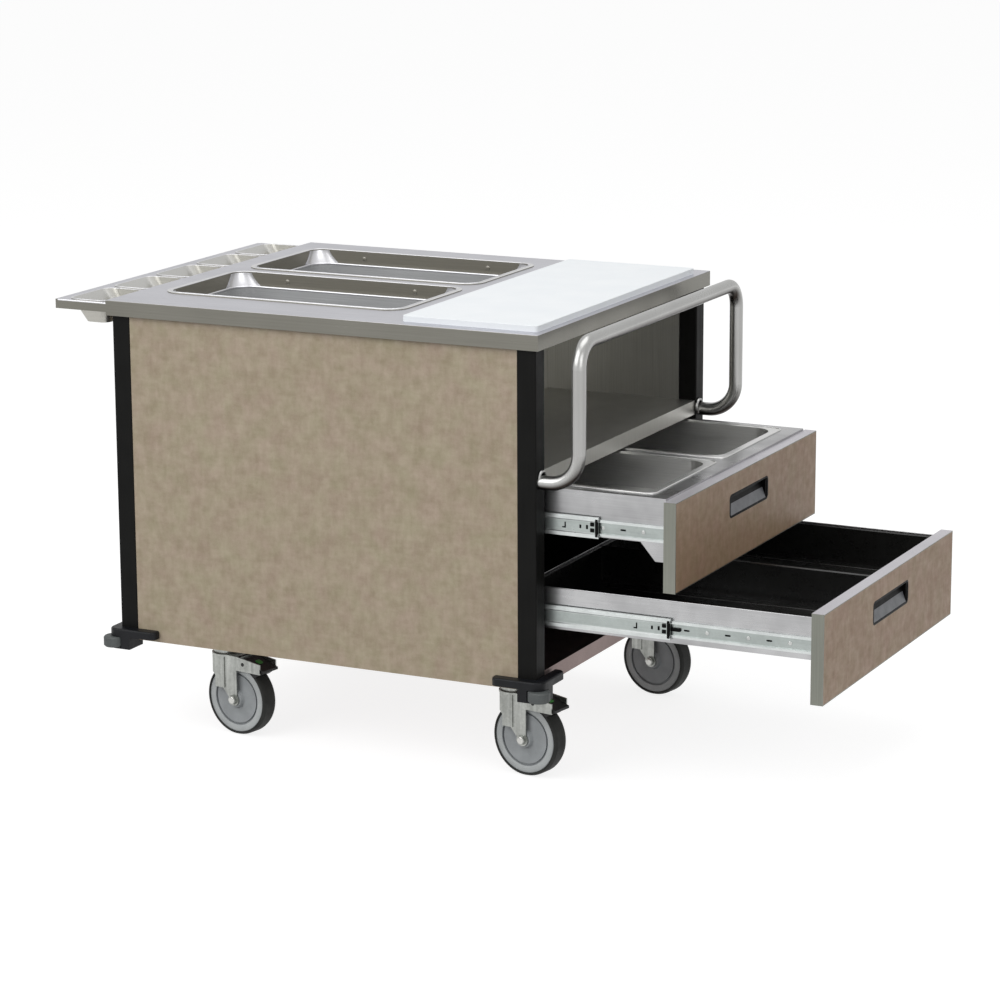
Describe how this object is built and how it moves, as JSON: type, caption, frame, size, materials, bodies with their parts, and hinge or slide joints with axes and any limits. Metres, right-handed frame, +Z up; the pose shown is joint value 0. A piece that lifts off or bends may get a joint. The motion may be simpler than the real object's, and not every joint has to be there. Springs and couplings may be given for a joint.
{
  "type": "heated holding cart",
  "caption": "Wheeled heated holding cart: panelled cabinet, stainless worktop with drawn wells and cutting board, end trough, plate bay, telescopic drawers, push handle and braked casters.",
  "frame": {"origin": "on the floor, under the middle of the overall rest-pose box (drawers open as in the picture)", "axes": "+X along the cart towards the drawer end, +Y across it away from the near side, +Z up"},
  "size_m": [1.651, 0.891, 0.912],
  "materials": {
    "stainless": "brushed",
    "worktop_steel": "brushed",
    "handle_steel": "polished",
    "liner_coat": "matt black",
    "post_coat": "satin powder coat",
    "laminate": "matt laminate on board",
    "front_laminate": "matt laminate on board",
    "edging": "satin edge band",
    "heater_mat": "matt",
    "bumper_plastic": "moulded",
    "roller_rubber": "matt",
    "zinc": "zinc plated",
    "core_plastic": "moulded",
    "tyre_rubber": "matt",
    "pedal_plastic": "moulded",
    "board_plastic": "matt",
    "pull_plastic": "moulded",
    "tub_plastic": "moulded",
    "control_plastic": "moulded"
  },
  "bodies": {
    "cabinet": {"base_pan": "stainless", "corner_posts": "post_coat", "near_side_panel": "laminate", "far_side_panel": "laminate", "left_end_panel": "laminate", "inner_side_walls": "liner_coat", "bay_side_walls": "stainless", "bay_back_wall": "stainless", "plate_shelf": "stainless", "worktop": "worktop_steel", "well_basins": "stainless", "well_heaters": "heater_mat", "push_handle": "handle_steel", "condiment_trough": "worktop_steel", "trough_pans": "worktop_steel", "corner_bumpers": "bumper_plastic", "caster_top_plates": "zinc", "slide_cabinet_members": "zinc", "control_panel": "stainless", "thermostats": "control_plastic", "power_inlet": "control_plastic"},
    "board": {"cutting_board": "board_plastic"},
    "upper_drawer": {"upper_drawer_front": "front_laminate", "upper_drawer_edging": "edging", "upper_drawer_pull": "pull_plastic", "upper_drawer_frame": "stainless", "upper_drawer_pans": "stainless", "upper_slide_members": "zinc"},
    "upper_middle": {"upper_slide_middles": "zinc"},
    "lower_drawer": {"lower_drawer_front": "front_laminate", "lower_drawer_edging": "edging", "lower_drawer_pull": "pull_plastic", "lower_drawer_box": "stainless", "lower_drawer_liners": "tub_plastic", "lower_slide_members": "zinc"},
    "lower_middle": {"lower_slide_middles": "zinc"},
    "knob_near": {"thermostat_knob_near": "control_plastic"},
    "knob_far": {"thermostat_knob_far": "control_plastic"},
    "switch_rocker": {"power_switch": "control_plastic"},
    "fork_near_left": {"caster_fork_near_left": "zinc"},
    "wheel_near_left": {"wheel_core_near_left": "core_plastic", "wheel_tyre_near_left": "tyre_rubber"},
    "pedal_near_left": {"brake_pedal_near_left": "pedal_plastic"},
    "roller_near_left": {"bumper_roller_near_left": "roller_rubber"},
    "fork_near_right": {"caster_fork_near_right": "zinc"},
    "wheel_near_right": {"wheel_core_near_right": "core_plastic", "wheel_tyre_near_right": "tyre_rubber"},
    "pedal_near_right": {"brake_pedal_near_right": "pedal_plastic"},
    "roller_near_right": {"bumper_roller_near_right": "roller_rubber"},
    "fork_far_left": {"caster_fork_far_left": "zinc"},
    "wheel_far_left": {"wheel_core_far_left": "core_plastic", "wheel_tyre_far_left": "tyre_rubber"},
    "pedal_far_left": {"brake_pedal_far_left": "pedal_plastic"},
    "roller_far_left": {"bumper_roller_far_left": "roller_rubber"},
    "fork_far_right": {"caster_fork_far_right": "zinc"},
    "wheel_far_right": {"wheel_core_far_right": "core_plastic", "wheel_tyre_far_right": "tyre_rubber"},
    "pedal_far_right": {"brake_pedal_far_right": "pedal_plastic"},
    "roller_far_right": {"bumper_roller_far_right": "roller_rubber"}
  },
  "joints": [
    {"name": "cutting_board_lift", "type": "slide", "parent": "cabinet", "child": "board", "axis": [0, 0, 1], "range_m": [0, 0.15]},
    {"name": "upper_drawer_slide", "type": "slide", "parent": "cabinet", "child": "upper_drawer", "axis": [1, 0, 0], "range_m": [-0.272, 0.301]},
    {"name": "upper_middle_slide", "type": "slide", "parent": "cabinet", "child": "upper_middle", "axis": [1, 0, 0], "range_m": [-0.136, 0.1505]},
    {"name": "lower_drawer_slide", "type": "slide", "parent": "cabinet", "child": "lower_drawer", "axis": [1, 0, 0], "range_m": [-0.573, 0]},
    {"name": "lower_middle_slide", "type": "slide", "parent": "cabinet", "child": "lower_middle", "axis": [1, 0, 0], "range_m": [-0.2865, 0]},
    {"name": "knob_near_turn", "type": "hinge", "parent": "cabinet", "child": "knob_near", "pos_m": [-0.6985, -0.214, 0.692], "axis": [1, 0, 0], "range_deg": [0, 270]},
    {"name": "knob_far_turn", "type": "hinge", "parent": "cabinet", "child": "knob_far", "pos_m": [-0.6985, -0.158, 0.692], "axis": [1, 0, 0], "range_deg": [0, 270]},
    {"name": "switch_rock", "type": "hinge", "parent": "cabinet", "child": "switch_rocker", "pos_m": [-0.6935, -0.102, 0.692], "axis": [0, 1, 0], "range_deg": [0, 14]},
    {"name": "swivel_near_left", "type": "hinge", "parent": "cabinet", "child": "fork_near_left", "pos_m": [-0.4965, -0.315, 0.166], "axis": [0, 0, 1], "continuous": true},
    {"name": "wheel_spin_near_left", "type": "hinge", "parent": "fork_near_left", "child": "wheel_near_left", "pos_m": [-0.46105, -0.32125, 0.076], "axis": [0.1736, 0.9848, 0], "continuous": true},
    {"name": "brake_near_left", "type": "hinge", "parent": "fork_near_left", "child": "pedal_near_left", "pos_m": [-0.43544, -0.32577, 0.154], "axis": [-0.1736, -0.9848, 0], "range_deg": [0, 7]},
    {"name": "roller_spin_near_left", "type": "hinge", "parent": "cabinet", "child": "roller_near_left", "pos_m": [-0.7005, -0.4235, 0.191], "axis": [0, 0, 1], "continuous": true},
    {"name": "swivel_near_right", "type": "hinge", "parent": "cabinet", "child": "fork_near_right", "pos_m": [0.1595, -0.315, 0.166], "axis": [0, 0, 1], "continuous": true},
    {"name": "wheel_spin_near_right", "type": "hinge", "parent": "fork_near_right", "child": "wheel_near_right", "pos_m": [0.19495, -0.32125, 0.076], "axis": [0.1736, 0.9848, 0], "continuous": true},
    {"name": "brake_near_right", "type": "hinge", "parent": "fork_near_right", "child": "pedal_near_right", "pos_m": [0.22056, -0.32577, 0.154], "axis": [-0.1736, -0.9848, 0], "range_deg": [0, 7]},
    {"name": "roller_spin_near_right", "type": "hinge", "parent": "cabinet", "child": "roller_near_right", "pos_m": [0.2635, -0.4235, 0.191], "axis": [0, 0, 1], "continuous": true},
    {"name": "swivel_far_left", "type": "hinge", "parent": "cabinet", "child": "fork_far_left", "pos_m": [-0.4965, 0.315, 0.166], "axis": [0, 0, 1], "continuous": true},
    {"name": "wheel_spin_far_left", "type": "hinge", "parent": "fork_far_left", "child": "wheel_far_left", "pos_m": [-0.46105, 0.30875, 0.076], "axis": [0.1736, 0.9848, 0], "continuous": true},
    {"name": "brake_far_left", "type": "hinge", "parent": "fork_far_left", "child": "pedal_far_left", "pos_m": [-0.43544, 0.30423, 0.154], "axis": [-0.1736, -0.9848, 0], "range_deg": [0, 7]},
    {"name": "roller_spin_far_left", "type": "hinge", "parent": "cabinet", "child": "roller_far_left", "pos_m": [-0.7005, 0.4235, 0.191], "axis": [0, 0, 1], "continuous": true},
    {"name": "swivel_far_right", "type": "hinge", "parent": "cabinet", "child": "fork_far_right", "pos_m": [0.1595, 0.315, 0.166], "axis": [0, 0, 1], "continuous": true},
    {"name": "wheel_spin_far_right", "type": "hinge", "parent": "fork_far_right", "child": "wheel_far_right", "pos_m": [0.19495, 0.30875, 0.076], "axis": [0.1736, 0.9848, 0], "continuous": true},
    {"name": "brake_far_right", "type": "hinge", "parent": "fork_far_right", "child": "pedal_far_right", "pos_m": [0.22056, 0.30423, 0.154], "axis": [-0.1736, -0.9848, 0], "range_deg": [0, 7]},
    {"name": "roller_spin_far_right", "type": "hinge", "parent": "cabinet", "child": "roller_far_right", "pos_m": [0.2635, 0.4235, 0.191], "axis": [0, 0, 1], "continuous": true}
  ],
  "couplings": [
    {"joint": "upper_middle_slide", "follows": "upper_drawer_slide", "ratio": 0.5},
    {"joint": "lower_middle_slide", "follows": "lower_drawer_slide", "ratio": 0.5}
  ]
}
